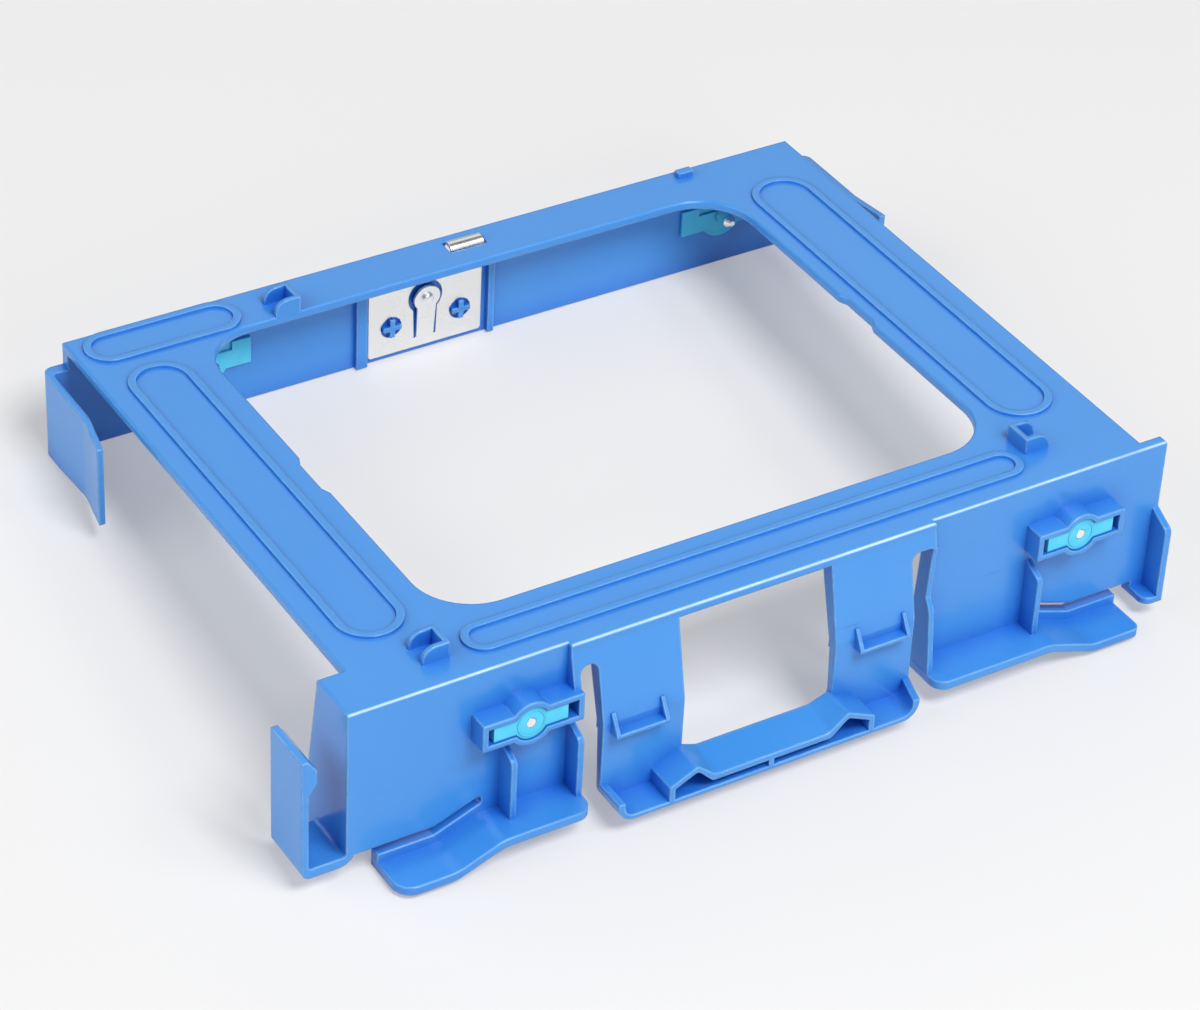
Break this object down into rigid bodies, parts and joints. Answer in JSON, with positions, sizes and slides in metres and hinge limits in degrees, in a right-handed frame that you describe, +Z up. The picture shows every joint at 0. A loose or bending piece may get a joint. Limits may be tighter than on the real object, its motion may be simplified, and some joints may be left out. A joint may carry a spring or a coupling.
{
  "type": "hard drive caddy",
  "caption": "Moulded caddy that clips over a 3.5-inch hard drive, with rubber-held side pins, a squeeze latch with hollow handle, leaf feet and a grounding clip.",
  "frame": {"origin": "middle of the bounding box in x and y, level with the undersides of the two leaf feet, the lowest faces of the part", "axes": "+X along the front wall to the right, +Y from the front wall with the latch to the rear wall, +Z up, square to the top plate"},
  "size_m": [0.1586, 0.12, 0.0347],
  "materials": {
    "frame_plastic": "satin moulded plastic",
    "grommet_rubber": "soft cyan rubber",
    "pin_steel": "bright turned steel",
    "clip_steel": "bright spring steel sheet"
  },
  "bodies": {
    "root": {"frame": "frame_plastic", "grommet_front_left": "grommet_rubber", "grommet_front_right": "grommet_rubber", "grommet_rear_left": "grommet_rubber", "grommet_rear_right": "grommet_rubber", "drive_pin_front_left": "pin_steel", "drive_pin_front_right": "pin_steel", "drive_pin_rear_left": "pin_steel", "drive_pin_rear_right": "pin_steel", "ground_clip": "clip_steel"}
  },
  "joints": []
}
